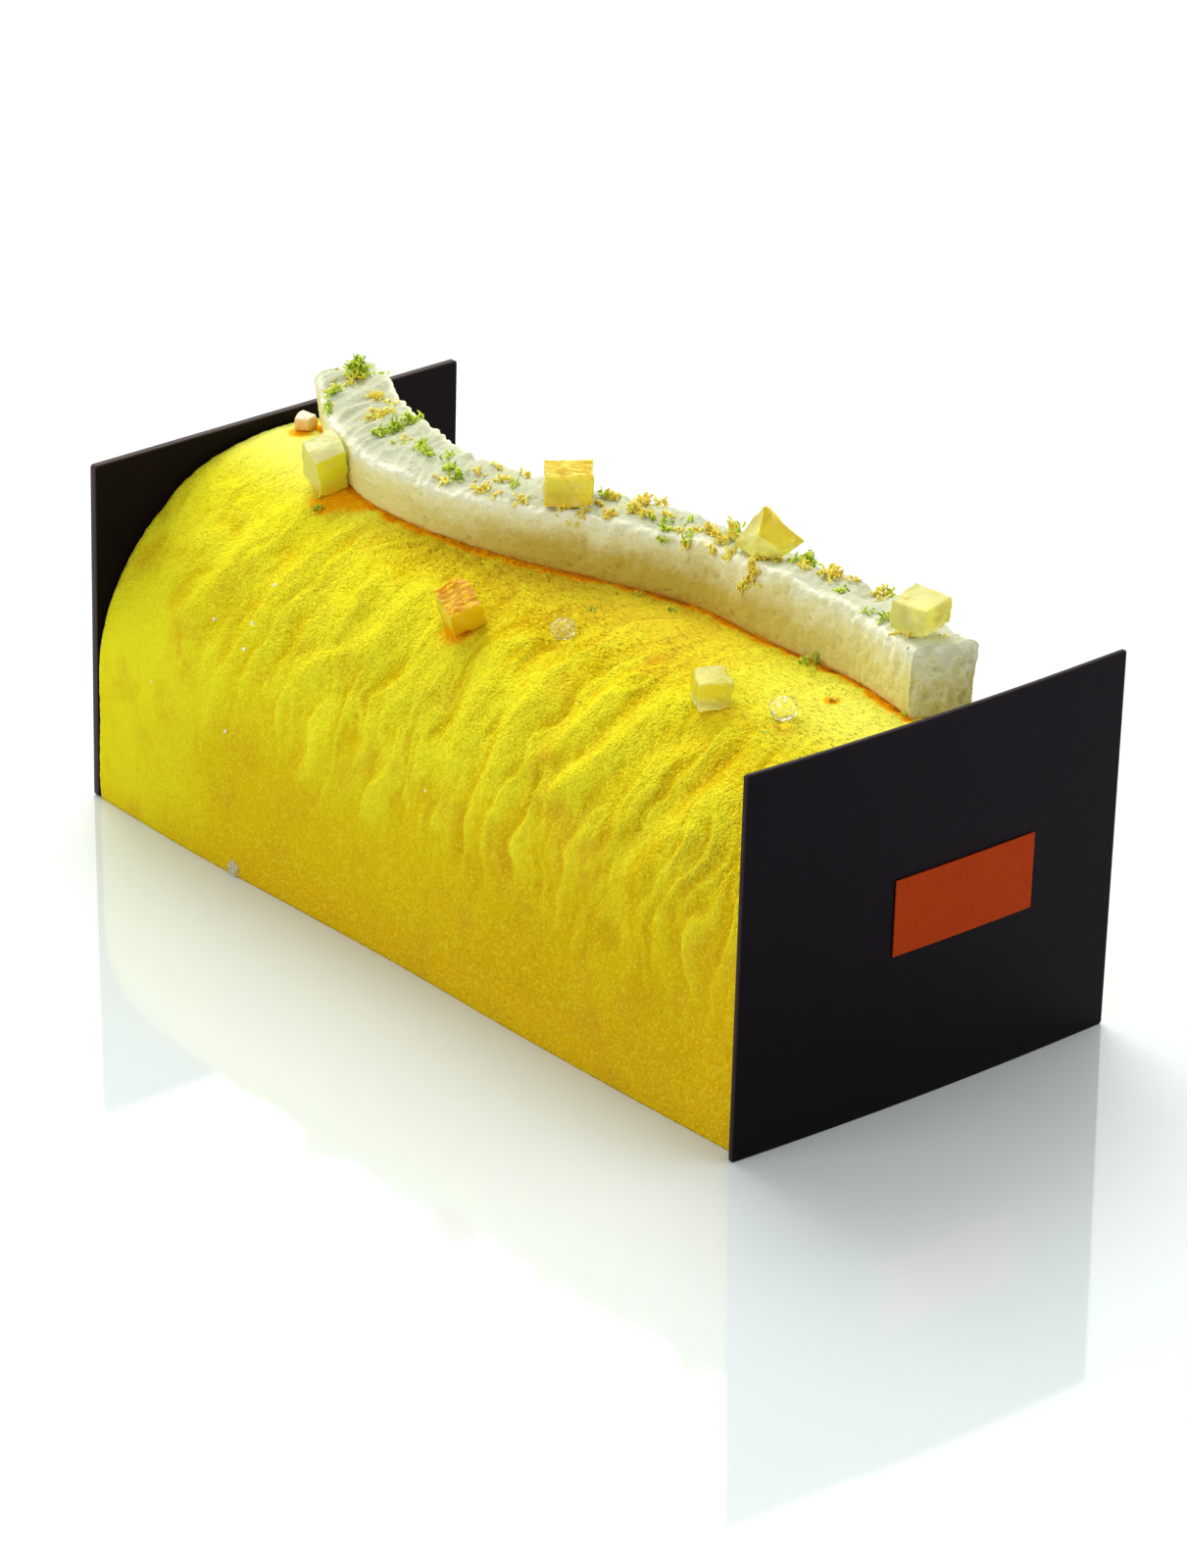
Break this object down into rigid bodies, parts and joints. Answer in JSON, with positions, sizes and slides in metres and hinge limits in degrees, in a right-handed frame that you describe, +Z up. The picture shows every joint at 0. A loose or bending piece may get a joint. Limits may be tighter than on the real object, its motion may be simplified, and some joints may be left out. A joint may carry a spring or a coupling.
{
  "type": "yule log cake",
  "caption": "Lemon yule log cake with a ridged velvet coat, a curved soft meringue bar with candied citrus and zest along its crest, and thin dark chocolate end plates.",
  "frame": {"origin": "centre of the outline's footprint, on the surface that the cake rests on", "axes": "+X along the log towards the end plate with the printed field, the long front side faces -Y, +Z up"},
  "size_m": [0.1866, 0.0862, 0.0855],
  "materials": {
    "velvet_coat": "matte, finely grained velvet spray of cocoa butter in lemon yellow",
    "meringue": "matte soft meringue, creamy white",
    "dark_chocolate": "satin tempered dark chocolate",
    "printed_field": "satin plain colour printed on the chocolate",
    "candied_pale": "glossy, translucent pale yellow candied citrus",
    "candied_golden": "glossy, translucent golden candied citrus with rind",
    "candied_amber": "glossy, translucent amber candied citrus with rind",
    "candied_pink": "glossy pinkish candied citrus",
    "clear_jelly": "wet, nearly clear jelly with pale speckles"
  },
  "bodies": {
    "root": {"log_body": "velvet_coat", "meringue_bar": "meringue", "end_plate_near": "dark_chocolate", "end_plate_far": "dark_chocolate", "print_panel": "printed_field", "citrus_cube_leaning": "candied_pale", "citrus_cube_rind": "candied_golden", "citrus_wedge": "candied_golden", "citrus_chunk": "candied_pale", "citrus_cube_glowing": "candied_amber", "citrus_cube_clear": "candied_pale", "citrus_nub": "candied_pink", "jelly_bead_mid": "clear_jelly", "jelly_bead_near": "clear_jelly"}
  },
  "joints": []
}
